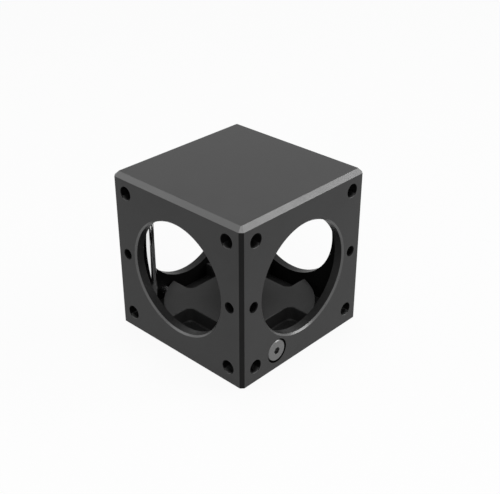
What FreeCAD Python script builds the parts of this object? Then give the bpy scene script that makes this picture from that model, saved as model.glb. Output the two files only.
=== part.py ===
import FreeCAD, Part
import math
import os

# Optical cage cube, millimetres. The origin is the cube's centre, where the four side ports' axes cross.
# +Z is up towards the closed top, the front face is at -Y and the right-hand face at +X.

# Cube and its walls
CUBE = 76.2
WALL = 4.5
ROOF = 4.5
TOP_BEVEL = 2.0
SIDE_BEVEL = 1.5
FOOT_BEVEL = 0.5
POCKET_CORNER = 3.0

# Round ports, one in each side wall
PORT_DIAMETER = 51.7
PORT_BEVEL = 0.75

# Holes for the cage rods, drilled through the wall near each corner of a side face
ROD_SPACING = 60.0
ROD_DIAMETER = 6.0
ROD_CLEARANCE = 0.05
ROD_HOLE_BEVEL = 0.2

# Tapped holes through the wall at half height, beside each port
SIDE_TAP_SPACING = 62.4
SIDE_TAP_DIAMETER = 4.2
SIDE_TAP_BEVEL = 0.4

# Base plate, let into the open underside of the cube: a square foot with a round, notched boss on it
PLATE_THICKNESS = 11.3
PLATE_FOOT = 4.1
PLATE_RECESS = 0.4
PLATE_TO_CORNER_ROD = 2.75
PLATE_CLEARANCE = 0.1
PLATE_EDGE_BEVEL = 0.3
NOTCH_WIDTH = 21.6
NOTCH_TO_CENTRE = 21.2
NOTCH_CORNER = 3.0
NOTCH_FOOT_BEVEL = 0.6
POST_TAP_DIAMETER = 5.0
POST_TAP_BEVEL = 0.6

# Flat-head screws with hexagon sockets that hold the base plate from the left and right walls
SCREW_FROM_CENTRE = 16.6
SCREW_BELOW_PLATE_TOP = 2.5
SCREW_DIAMETER = 4.0
SCREW_LENGTH = 12.0
SCREW_HEAD_DIAMETER = 10.0
SCREW_HEAD_HEIGHT = 2.2
SCREW_HEAD_BEVEL = 0.35
SCREW_KEY = 3.0
SCREW_KEY_DEPTH = 1.4
SCREW_SUNK = 0.1
SCREW_HOLE_CLEARANCE = 0.2
THREAD_CLEARANCE = 0.03
COUNTERBORE_DIAMETER = 11.4

# Upright rod that stands in one corner of the pocket
CORNER_ROD_GAP = 2.0
CORNER_ROD_ROOF_SEAT = 3.0
CORNER_ROD_FOOT_SEAT = 2.0
CORNER_ROD_END_GAP = 0.5
CORNER_ROD_BEVEL = 0.4

HALF = CUBE / 2
POCKET_HALF = HALF - WALL
CEILING_Z = HALF - ROOF
THROUGH_DEPTH = WALL + POCKET_CORNER
PLATE_BOTTOM_Z = -HALF + PLATE_RECESS
PLATE_TOP_Z = PLATE_BOTTOM_Z + PLATE_THICKNESS
FLOOR_Z = PLATE_BOTTOM_Z + PLATE_FOOT
SCREW_Z = PLATE_TOP_Z - SCREW_BELOW_PLATE_TOP
COUNTERBORE_DEPTH = SCREW_HEAD_HEIGHT + SCREW_SUNK
CORNER_ROD_XY = -(POCKET_HALF - ROD_DIAMETER / 2 - CORNER_ROD_GAP)
PLATE_RADIUS = math.sqrt(2) * abs(CORNER_ROD_XY) - ROD_DIAMETER / 2 - PLATE_TO_CORNER_ROD
CUT_OVERRUN = 1.0

UP = FreeCAD.Vector(0, 0, 1)
INWARD = FreeCAD.Vector(0, 1, 0)
FRONT, RIGHT, BACK, LEFT = 0, 1, 2, 3


def turned(shape, quarter):
    """A copy of a shape made for the front face, turned about Z to another side."""
    copy = shape.copy()
    copy.rotate(FreeCAD.Vector(0, 0, 0), UP, 90.0 * quarter)
    return copy


def drilled(across, height, diameter, depth, bevel):
    """A hole cutter on the front face, with a 45 degree bevel at its mouth."""
    mouth = FreeCAD.Vector(across, -HALF, height)
    start = mouth - INWARD * CUT_OVERRUN
    cutter = Part.makeCylinder(diameter / 2, depth + CUT_OVERRUN, start, INWARD)
    wide = diameter / 2 + bevel + CUT_OVERRUN
    cone = Part.makeCone(wide, diameter / 2, bevel + CUT_OVERRUN, start, INWARD)
    return cutter.fuse(cone)


def rounded_square(half, corner, low, high):
    """An upright prism with a square section and rounded corners."""
    block = Part.makeBox(2 * half, 2 * half, high - low, FreeCAD.Vector(-half, -half, low))
    return block.makeFillet(corner, upright_edges(block))


def upright_edges(shape):
    return [edge for edge in shape.Edges if edge.BoundBox.ZLength > 0.9 * shape.BoundBox.ZLength]


def level_edges(shape, z):
    """The edges that lie in one horizontal plane."""
    near = 1e-6
    return [e for e in shape.Edges if abs(e.BoundBox.ZMin - z) < near and abs(e.BoundBox.ZMax - z) < near]


def outer_block():
    """The cube with its edges bevelled: a wide bevel round the top, a narrow one round the foot."""
    block = Part.makeBox(CUBE, CUBE, CUBE, FreeCAD.Vector(-HALF, -HALF, -HALF))
    block = block.makeChamfer(SIDE_BEVEL, upright_edges(block))
    block = block.makeChamfer(TOP_BEVEL, level_edges(block, HALF))
    return block.makeChamfer(FOOT_BEVEL, level_edges(block, -HALF))


def port_cutter():
    """One port bore through the front wall alone, bevelled at its mouth."""
    return drilled(0, 0, PORT_DIAMETER, WALL + CUT_OVERRUN, PORT_BEVEL)


def rod_hole_cutters():
    """The four rod holes of a side face, deep enough to clear the pocket's rounded corners."""
    offset = ROD_SPACING / 2
    diameter = ROD_DIAMETER + 2 * ROD_CLEARANCE
    return [
        drilled(side * offset, level * offset, diameter, THROUGH_DEPTH, ROD_HOLE_BEVEL)
        for side in (-1, 1)
        for level in (-1, 1)
    ]


def side_tap_cutters():
    """The two tapped holes at half height on a side face."""
    return [
        drilled(side * SIDE_TAP_SPACING / 2, 0, SIDE_TAP_DIAMETER, THROUGH_DEPTH, SIDE_TAP_BEVEL)
        for side in (-1, 1)
    ]


def screw_way_cutter(across):
    """The counterbore and clearance hole for one base screw."""
    start = FreeCAD.Vector(across, -HALF - CUT_OVERRUN, SCREW_Z)
    head_way = Part.makeCylinder(COUNTERBORE_DIAMETER / 2, COUNTERBORE_DEPTH + CUT_OVERRUN, start, INWARD)
    shank_radius = SCREW_DIAMETER / 2 + SCREW_HOLE_CLEARANCE
    shank_way = Part.makeCylinder(shank_radius, WALL + 2 * CUT_OVERRUN, start, INWARD)
    return head_way.fuse(shank_way)


def screw_places():
    """Each base screw's side of the cube and its place across that side."""
    return {"right": (RIGHT, -SCREW_FROM_CENTRE), "left": (LEFT, SCREW_FROM_CENTRE)}


def corner_rod_cutter(low, high):
    """A hole for the upright rod between two heights."""
    centre = FreeCAD.Vector(CORNER_ROD_XY, CORNER_ROD_XY, low)
    return Part.makeCylinder(ROD_DIAMETER / 2 + ROD_CLEARANCE, high - low, centre)


def cube_body():
    """Four walls and the closed top, machined from one block that is open underneath."""
    body = outer_block()
    body = body.cut(rounded_square(POCKET_HALF, POCKET_CORNER, -HALF - CUT_OVERRUN, CEILING_Z))
    cutters = [corner_rod_cutter(CEILING_Z - CUT_OVERRUN, CEILING_Z + CORNER_ROD_ROOF_SEAT)]
    for quarter in (FRONT, RIGHT, BACK, LEFT):
        face_cutters = [port_cutter()] + rod_hole_cutters() + side_tap_cutters()
        cutters += [turned(cutter, quarter) for cutter in face_cutters]
    for quarter, across in screw_places().values():
        cutters.append(turned(screw_way_cutter(across), quarter))
    return body.cut(cutters)


def notch_cutter():
    """A notch in the boss, in front of one port, with rounded inner corners and a bevel along its foot."""
    length = PLATE_RADIUS - NOTCH_TO_CENTRE + CUT_OVERRUN
    low = FreeCAD.Vector(-NOTCH_WIDTH / 2, -NOTCH_TO_CENTRE - length, FLOOR_Z)
    notch = Part.makeBox(NOTCH_WIDTH, length, PLATE_TOP_Z - FLOOR_Z + CUT_OVERRUN, low)
    inner = [edge for edge in upright_edges(notch) if abs(edge.BoundBox.YMin + NOTCH_TO_CENTRE) < 1e-6]
    notch = notch.makeFillet(NOTCH_CORNER, inner)
    return notch.makeChamfer(NOTCH_FOOT_BEVEL, level_edges(notch, FLOOR_Z))


def tapped_screw_cutter(across):
    """The tapped hole that a base screw runs into."""
    start = FreeCAD.Vector(across, -HALF, SCREW_Z)
    reach = COUNTERBORE_DEPTH + SCREW_LENGTH + CUT_OVERRUN
    return Part.makeCylinder(SCREW_DIAMETER / 2 + THREAD_CLEARANCE, reach, start, INWARD)


def base_plate():
    """A square foot that fills the underside, and on it a round boss with four notches and a post hole."""
    boss = Part.makeCylinder(PLATE_RADIUS, PLATE_TOP_Z - FLOOR_Z, FreeCAD.Vector(0, 0, FLOOR_Z))
    boss = boss.cut([turned(notch_cutter(), quarter) for quarter in (FRONT, RIGHT, BACK, LEFT)])
    boss = boss.makeChamfer(PLATE_EDGE_BEVEL, level_edges(boss, PLATE_TOP_Z))
    half = POCKET_HALF - PLATE_CLEARANCE
    plate = rounded_square(half, POCKET_CORNER, PLATE_BOTTOM_Z, FLOOR_Z).fuse(boss)
    bottom = FreeCAD.Vector(0, 0, PLATE_BOTTOM_Z)
    mouth = POST_TAP_DIAMETER / 2 + POST_TAP_BEVEL
    cutters = [
        Part.makeCylinder(POST_TAP_DIAMETER / 2, PLATE_THICKNESS, bottom),
        Part.makeCone(mouth, POST_TAP_DIAMETER / 2, POST_TAP_BEVEL, bottom),
        corner_rod_cutter(FLOOR_Z - CORNER_ROD_FOOT_SEAT, PLATE_TOP_Z),
    ]
    cutters += [turned(tapped_screw_cutter(across), quarter) for quarter, across in screw_places().values()]
    return plate.cut(cutters).removeSplitter()


def base_screw(across):
    """A flat-head screw with a hexagon socket, seated in its counterbore on the front face."""
    seat = FreeCAD.Vector(across, -HALF + COUNTERBORE_DEPTH, SCREW_Z)
    head_top = seat - INWARD * SCREW_HEAD_HEIGHT
    head = Part.makeCylinder(SCREW_HEAD_DIAMETER / 2, SCREW_HEAD_HEIGHT, head_top, INWARD)
    rim = [edge for edge in head.Edges if abs(edge.BoundBox.YMax - head_top.y) < 1e-6]
    head = head.makeChamfer(SCREW_HEAD_BEVEL, rim)
    shank = Part.makeCylinder(SCREW_DIAMETER / 2, SCREW_LENGTH, seat, INWARD)
    corner_radius = SCREW_KEY / math.sqrt(3)
    corners = []
    for step in range(7):
        angle = math.radians(60 * step)
        offset = FreeCAD.Vector(corner_radius * math.cos(angle), 0, corner_radius * math.sin(angle))
        corners.append(head_top + offset)
    socket = Part.Face(Part.makePolygon(corners)).extrude(INWARD * SCREW_KEY_DEPTH)
    return head.fuse(shank).cut(socket).removeSplitter()


def corner_rod():
    """A plain rod with bevelled ends, one in the plate's foot and one in the roof."""
    low = FLOOR_Z - CORNER_ROD_FOOT_SEAT
    high = CEILING_Z + CORNER_ROD_ROOF_SEAT - CORNER_ROD_END_GAP
    rod = Part.makeCylinder(ROD_DIAMETER / 2, high - low, FreeCAD.Vector(CORNER_ROD_XY, CORNER_ROD_XY, low))
    ends = level_edges(rod, low) + level_edges(rod, high)
    return rod.makeChamfer(CORNER_ROD_BEVEL, ends)


def main():
    os.makedirs("parts", exist_ok=True)
    pieces = {
        "cube_body": cube_body(),
        "base_plate": base_plate(),
        "corner_rod": corner_rod(),
    }
    for side, (quarter, across) in screw_places().items():
        pieces[f"base_screw_{side}"] = turned(base_screw(across), quarter)
    for name, shape in pieces.items():
        shape.exportStep(f"parts/{name}.step")
        print(name, "valid", shape.isValid(), "solids", len(shape.Solids), "volume", round(shape.Volume, 1))


main()
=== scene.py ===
import math
import bpy
from mathutils import Matrix, Vector


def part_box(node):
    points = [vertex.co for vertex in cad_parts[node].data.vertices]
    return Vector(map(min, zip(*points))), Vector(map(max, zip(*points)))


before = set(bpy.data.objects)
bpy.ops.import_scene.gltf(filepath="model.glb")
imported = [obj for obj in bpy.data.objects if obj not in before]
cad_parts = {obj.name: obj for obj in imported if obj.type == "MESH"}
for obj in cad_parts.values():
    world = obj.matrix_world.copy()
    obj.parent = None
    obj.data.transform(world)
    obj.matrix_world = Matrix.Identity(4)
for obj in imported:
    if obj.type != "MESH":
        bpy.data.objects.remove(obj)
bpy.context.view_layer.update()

# The cube's sizes in metres, measured from its middle
HALF = 0.0381
WALL_INSIDE = 0.0336
PORT_RADIUS = 0.02585
ROD_PLACE = 0.03
ROD_RADIUS = 0.003
THREAD_PITCH = 0.000635
TOP_BEVEL = 0.002
SIDE_BEVEL = 0.0015
FOOT_BEVEL = 0.0005

# How far the middle of a facet may lie from the size that it is compared with
NEAR_FACE = 0.00001
NEAR_POCKET = 0.00002
NEAR_BEVEL = 0.00005
NEAR_BORE = 0.0001
PORT_MOUTH = 0.0009
ROD_MOUTH = 0.0003
FOOT_RIM = 0.001
PLATE_TOP_DEPTH = 0.0005

# Surface grain, and the painted light and shade in the rod holes: noise scales per metre, depths
# in metres
CLOUD_SCALE = 60.0
GRAIN_SCALE = 2600.0
GRAIN_DEPTH = 0.00002
GRAIN_STRENGTH = 0.6
THREAD_DEPTH = 0.00002
# Painted light at the rod holes' mouths, with a ragged edge, fading to painted shade further in
MOUTH_LIGHT_SCALE = 900.0
MOUTH_LIGHT_SPREAD = 0.001
MOUTH_LIGHT_FADE_PER_METRE = 250.0
LINE_SCALE = 4000.0
ALONG_LINE_SCALE = 60.0
LINE_DEPTH = 0.00001
MIRROR_LINE_DEPTH = 0.0000005
LINE_STRENGTH = 0.3
# Rod-hole facets facing up more than this get the painted light
FACETS_UP = 0.6

# Floor and background
FLOOR_GAP = 0.00005
FLOOR_REACH = 3.0
FLOOR_GREY = 0.6
FLOOR_WHITE = 0.92
WORLD_WHITE = 1.0
WORLD_LIGHT = 0.4

# Lamps: name, place, side of the square in metres, power in watts
LAMPS = [
    ("key", (0.30, -0.29, 0.42), 0.25, 1.4),
    ("top", (-0.10, 0.10, 1.20), 0.50, 7.0),
    ("back", (0.731, 0.812, 0.606), 0.60, 6.0),
    ("left", (-0.812, -0.731, 0.606), 0.60, 1.4),
]

# Camera: angles in degrees, distances in metres, lens and sensor in millimetres
CAMERA_AZIMUTH = 43.389
CAMERA_ELEVATION = 29.607
CAMERA_DISTANCE = 0.41412
CAMERA_RIGHT = 0.004772
CAMERA_UP = 0.000055
CAMERA_LENS = 66.92
CAMERA_SENSOR = 36.0
CAMERA_CLIP = (0.01, 20.0)


# ---- node helpers

def new_material(name):
    """A new material, and its Principled shader."""
    material = bpy.data.materials.new(name)
    material.use_nodes = True
    return material, material.node_tree.nodes["Principled BSDF"]


def add(tree, kind, **settings):
    node = tree.nodes.new(kind)
    for key, value in settings.items():
        setattr(node, key, value)
    return node


def link(tree, source, target):
    tree.links.new(source, target)


def math_node(tree, operation, *values, clamp=False):
    """A Math node's output; each input is a socket or a number."""
    node = add(tree, "ShaderNodeMath", operation=operation, use_clamp=clamp)
    for socket, value in zip(node.inputs, values):
        if isinstance(value, (int, float)):
            socket.default_value = value
        else:
            link(tree, value, socket)
    return node.outputs[0]


def ramp(tree, source, stops):
    """A colour ramp's output; stops are (position, grey)."""
    node = add(tree, "ShaderNodeValToRGB")
    elements = node.color_ramp.elements
    while len(elements) < len(stops):
        elements.new(0.5)
    for element, (position, grey) in zip(elements, stops):
        element.position = position
        element.color = (grey, grey, grey, 1.0)
    link(tree, source, node.inputs["Fac"])
    return node.outputs["Color"]


def spread(tree, source, low, high):
    """A ramp over the middle of a noise, where most of its values lie."""
    return ramp(tree, source, [(0.3, low), (0.7, high)])


def noise(tree, vector, scale, detail=3.0, roughness=0.5):
    node = add(tree, "ShaderNodeTexNoise")
    node.inputs["Scale"].default_value = scale
    node.inputs["Detail"].default_value = detail
    node.inputs["Roughness"].default_value = roughness
    link(tree, vector, node.inputs["Vector"])
    return node.outputs["Fac"]


def place(tree):
    """The point on the piece, in metres in the row frame."""
    return add(tree, "ShaderNodeTexCoord").outputs["Object"]


def split(tree, vector):
    """The X and Y of a vector."""
    node = add(tree, "ShaderNodeSeparateXYZ")
    link(tree, vector, node.inputs[0])
    return node.outputs["X"], node.outputs["Y"]


def bump(tree, height, distance, strength=1.0):
    node = add(tree, "ShaderNodeBump")
    node.inputs["Distance"].default_value = distance
    node.inputs["Strength"].default_value = strength
    link(tree, height, node.inputs["Height"])
    return node.outputs["Normal"]


# ---- materials

def thread_relief(tree, point):
    """A bump of turned grooves, along X in the left and right walls and along Y in the others."""
    grooves = []
    for along in split(tree, point):
        depth = math_node(tree, "ABSOLUTE", along)
        in_wall = math_node(tree, "GREATER_THAN", depth, WALL_INSIDE - NEAR_BORE)
        turn = math_node(tree, "MULTIPLY", along, 2.0 * math.pi / THREAD_PITCH)
        wave = math_node(tree, "SINE", turn)
        grooves.append(math_node(tree, "MULTIPLY", wave, in_wall))
    return bump(tree, math_node(tree, "ADD", *grooves), THREAD_DEPTH)


def anodised(name, dark, light, rough_low, rough_high, gloss, threads=False):
    """Bead-blasted black anodised aluminium: fine grain and a cloudy tone, or turned threads."""
    material, shader = new_material(name)
    tree = material.node_tree
    point = place(tree)
    cloud = noise(tree, point, CLOUD_SCALE, 4.0, 0.6)
    grain = noise(tree, point, GRAIN_SCALE, 2.0, 0.6)
    clouded = math_node(tree, "MULTIPLY", cloud, 0.7)
    grained = math_node(tree, "MULTIPLY", grain, 0.3)
    tone = math_node(tree, "ADD", clouded, grained)
    link(tree, spread(tree, tone, dark, light), shader.inputs["Base Color"])
    link(tree, spread(tree, cloud, rough_low, rough_high), shader.inputs["Roughness"])
    if threads:
        normal = thread_relief(tree, point)
    else:
        normal = bump(tree, grain, GRAIN_DEPTH, GRAIN_STRENGTH)
    link(tree, normal, shader.inputs["Normal"])
    shader.inputs["Specular IOR Level"].default_value = gloss
    return material


def painted_lit_holes(name):
    """The up-facing lower side of the rod holes: painted light, paler at the mouth, and painted
    shade, black further in.
    """
    material, shader = new_material(name)
    tree = material.node_tree
    point = place(tree)
    sideways = [math_node(tree, "ABSOLUTE", value) for value in split(tree, point)]
    depth = math_node(tree, "SUBTRACT", HALF, math_node(tree, "MAXIMUM", *sideways))
    ragged = math_node(tree, "MULTIPLY", noise(tree, point, MOUTH_LIGHT_SCALE), MOUTH_LIGHT_SPREAD)
    lit_depth = math_node(tree, "ADD", depth, ragged)
    fade = math_node(tree, "MULTIPLY", lit_depth, MOUTH_LIGHT_FADE_PER_METRE, clamp=True)
    # Painted light at the mouth, darkening to painted shade deeper in
    stops = [(0.10, 0.06), (0.35, 0.02), (0.5, 0.002)]
    link(tree, ramp(tree, fade, stops), shader.inputs["Base Color"])
    shader.inputs["Roughness"].default_value = 0.42
    shader.inputs["Specular IOR Level"].default_value = 0.3
    grain = noise(tree, point, GRAIN_SCALE)
    link(tree, bump(tree, grain, GRAIN_DEPTH, GRAIN_STRENGTH), shader.inputs["Normal"])
    return material


def steel(name, low, high, rough, axis, depth=LINE_DEPTH):
    """Polished steel with fine drawing or turning lines along an axis, 0 for X to 2 for Z."""
    material, shader = new_material(name)
    tree = material.node_tree
    stretch = add(tree, "ShaderNodeMapping")
    scales = [LINE_SCALE, LINE_SCALE, LINE_SCALE]
    scales[axis] = ALONG_LINE_SCALE
    stretch.inputs["Scale"].default_value = scales
    link(tree, place(tree), stretch.inputs["Vector"])
    lines = noise(tree, stretch.outputs[0], 1.0)
    link(tree, spread(tree, lines, low, high), shader.inputs["Base Color"])
    link(tree, spread(tree, lines, rough, rough + 0.08), shader.inputs["Roughness"])
    shader.inputs["Metallic"].default_value = 1.0
    link(tree, bump(tree, lines, depth, LINE_STRENGTH), shader.inputs["Normal"])
    return material


# ---- the pieces

def dress(node, materials, choose=lambda polygon: 0):
    """Gives a piece its materials, and each facet the one that choose() names by its number."""
    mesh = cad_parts[node].data
    mesh.materials.clear()
    for material in materials:
        mesh.materials.append(material)
    for polygon in mesh.polygons:
        polygon.material_index = choose(polygon)


(OUTSIDE, PORT_BORE, PORT_EDGE, POCKET,
 SMALL_HOLE, PAINTED_LIT_HOLE_SIDE, UPRIGHT_EDGE, TOP_EDGE) = range(8)


def body_finish(polygon):
    """Which finish a facet of the cube has, from where its middle is and whether it faces up; the
    finishes carry painted shade in the hollows and on the upright edges, and painted light on the
    up-facing side of the rod holes.
    """
    x, y, z = polygon.center
    deepest, across = max(abs(x), abs(y)), min(abs(x), abs(y))
    if max(deepest, abs(z)) > HALF - NEAR_FACE:
        return OUTSIDE
    bevel_line = 2 * HALF - SIDE_BEVEL
    if abs(abs(x) + abs(y) - bevel_line) < NEAR_BEVEL and abs(z) < HALF - TOP_BEVEL:
        return UPRIGHT_EDGE
    if z > HALF - TOP_BEVEL:
        return TOP_EDGE
    if z < -HALF + FOOT_BEVEL:
        return OUTSIDE if deepest > WALL_INSIDE + FOOT_RIM else POCKET
    if deepest < WALL_INSIDE + NEAR_POCKET:
        return POCKET
    radius = math.hypot(across, z)
    if abs(radius - PORT_RADIUS) < NEAR_BORE:
        return PORT_BORE
    if PORT_RADIUS < radius < PORT_RADIUS + PORT_MOUTH:
        return PORT_EDGE
    from_rod = math.hypot(across - ROD_PLACE, abs(z) - ROD_PLACE)
    in_rod_hole = from_rod < ROD_RADIUS + ROD_MOUTH
    # The up-facing side of a rod hole gets the painted light; the other hole walls get painted
    # shade
    return PAINTED_LIT_HOLE_SIDE if in_rod_hole and polygon.normal.z > FACETS_UP else SMALL_HOLE


def plate_finish(polygon):
    """The plate's top, or its sides and foot, which are coloured darker as painted shade."""
    return 0 if polygon.center.z > plate_top - PLATE_TOP_DEPTH else 1


def screw_finish(polygon):
    """The screw's head, or its shank, whose brighter steel is a painted glint."""
    return 0 if abs(polygon.center.x) > WALL_INSIDE else 1


# In the order of the finishes' names above
body_materials = [
    anodised("black_anodised", 0.032, 0.042, 0.40, 0.48, gloss=0.12),
    # Darker than the outer faces: painted shade in the port bores
    anodised("bore_painted_shade", 0.017, 0.021, 0.30, 0.36, gloss=0.08, threads=True),
    anodised("port_bevel", 0.034, 0.052, 0.24, 0.32, gloss=0.78),
    # Near black, far darker than the outer faces: painted shade in the pocket
    anodised("pocket_painted_shade", 0.0026, 0.0045, 0.55, 0.65, gloss=0.04),
    # Near black: painted shade in the holes
    anodised("hole_painted_shade", 0.0012, 0.002, 0.50, 0.60, gloss=0.05),
    # Painted light at the rod holes' mouths and painted shade deeper in
    painted_lit_holes("hole_mouth_painted_light"),
    # Near black on the upright chamfers: a painted dark reflection
    anodised("upright_edge_painted_dark", 0.005, 0.008, 0.40, 0.50, gloss=0.10),
    anodised("top_bevel", 0.018, 0.028, 0.34, 0.42, gloss=0.88),
]
dress("cube_body", body_materials, body_finish)

plate_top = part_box("base_plate")[1][2]
plate_materials = [
    anodised("plate_anodised", 0.036, 0.048, 0.45, 0.55, gloss=0.12),
    # Darker than the top: painted shade on the plate's sides and foot
    anodised("plate_side_painted_shade", 0.012, 0.018, 0.50, 0.60, gloss=0.12),
]
dress("base_plate", plate_materials, plate_finish)

dress("corner_rod", [steel("rod_steel", 0.80, 0.84, 0.03, 2, MIRROR_LINE_DEPTH)])
screw_materials = [
    steel("screw_head_steel", 0.135, 0.175, 0.32, 0),
    # Brighter than the head: a painted glint on the shank
    steel("screw_shank_painted_glint", 0.75, 0.85, 0.20, 0),
]
dress("base_screw_right", screw_materials, screw_finish)
dress("base_screw_left", screw_materials, screw_finish)


# ---- floor, background and lights

def by_ray(tree, seen, unseen):
    """One value for camera rays and for rays in gloss and glass, another for diffuse light."""
    path = add(tree, "ShaderNodeLightPath")
    mirrored = math_node(tree, "ADD", path.outputs["Is Glossy Ray"],
                         path.outputs["Is Transmission Ray"])
    shown = math_node(tree, "ADD", path.outputs["Is Camera Ray"], mirrored, clamp=True)
    return math_node(tree, "MULTIPLY_ADD", shown, seen - unseen, unseen)


def white_world():
    world = bpy.data.worlds.new("studio")
    bpy.context.scene.world = world
    world.use_nodes = True
    tree = world.node_tree
    background = tree.nodes["Background"]
    background.inputs["Color"].default_value = (1.0, 1.0, 1.0, 1.0)
    link(tree, by_ray(tree, WORLD_WHITE, WORLD_LIGHT), background.inputs["Strength"])


def floor():
    """A white floor that keeps the object's shadow."""
    reach, level = FLOOR_REACH, -HALF - FLOOR_GAP
    mesh = bpy.data.meshes.new("floor")
    corners = [(x, y, level) for x, y in
               ((-reach, -reach), (reach, -reach), (reach, reach), (-reach, reach))]
    mesh.from_pydata(corners, [], [(0, 1, 2, 3)])
    piece = bpy.data.objects.new("floor", mesh)
    bpy.context.collection.objects.link(piece)
    material, shader = new_material("floor")
    tree = material.node_tree
    shader.inputs["Base Color"].default_value = (FLOOR_GREY, FLOOR_GREY, FLOOR_GREY, 1.0)
    shader.inputs["Roughness"].default_value = 0.9
    shader.inputs["Specular IOR Level"].default_value = 0.1
    white = add(tree, "ShaderNodeEmission")
    mix = add(tree, "ShaderNodeMixShader")
    link(tree, by_ray(tree, FLOOR_WHITE, 0.0), mix.inputs["Fac"])
    link(tree, shader.outputs[0], mix.inputs[1])
    link(tree, white.outputs[0], mix.inputs[2])
    link(tree, mix.outputs[0], tree.nodes["Material Output"].inputs["Surface"])
    mesh.materials.append(material)


def area_lamp(name, where, size, power):
    """A square lamp that shines at the middle of the cube."""
    data = bpy.data.lights.new(name, "AREA")
    data.shape = "SQUARE"
    data.size = size
    data.energy = power
    lamp = bpy.data.objects.new(name, data)
    lamp.location = where
    lamp.rotation_euler = (-Vector(where)).to_track_quat("-Z", "Y").to_euler()
    bpy.context.collection.objects.link(lamp)


white_world()
floor()
for lamp_values in LAMPS:
    area_lamp(*lamp_values)


# ---- camera

def camera():
    azimuth = math.radians(CAMERA_AZIMUTH)
    elevation = math.radians(CAMERA_ELEVATION)
    back = Vector((
        math.sin(azimuth) * math.cos(elevation),
        -math.cos(azimuth) * math.cos(elevation),
        math.sin(elevation),
    ))
    right = Vector((math.cos(azimuth), math.sin(azimuth), 0.0))
    up = back.cross(right)
    data = bpy.data.cameras.new("camera")
    data.sensor_fit = "HORIZONTAL"
    data.sensor_width = CAMERA_SENSOR
    data.lens = CAMERA_LENS
    data.clip_start, data.clip_end = CAMERA_CLIP
    piece = bpy.data.objects.new("camera", data)
    where = back * CAMERA_DISTANCE + right * CAMERA_RIGHT + up * CAMERA_UP
    turn = Matrix((right, up, back)).transposed().to_4x4()
    piece.matrix_world = Matrix.Translation(where) @ turn
    bpy.context.collection.objects.link(piece)
    bpy.context.scene.camera = piece


camera()
bpy.context.scene.view_settings.view_transform = "Standard"
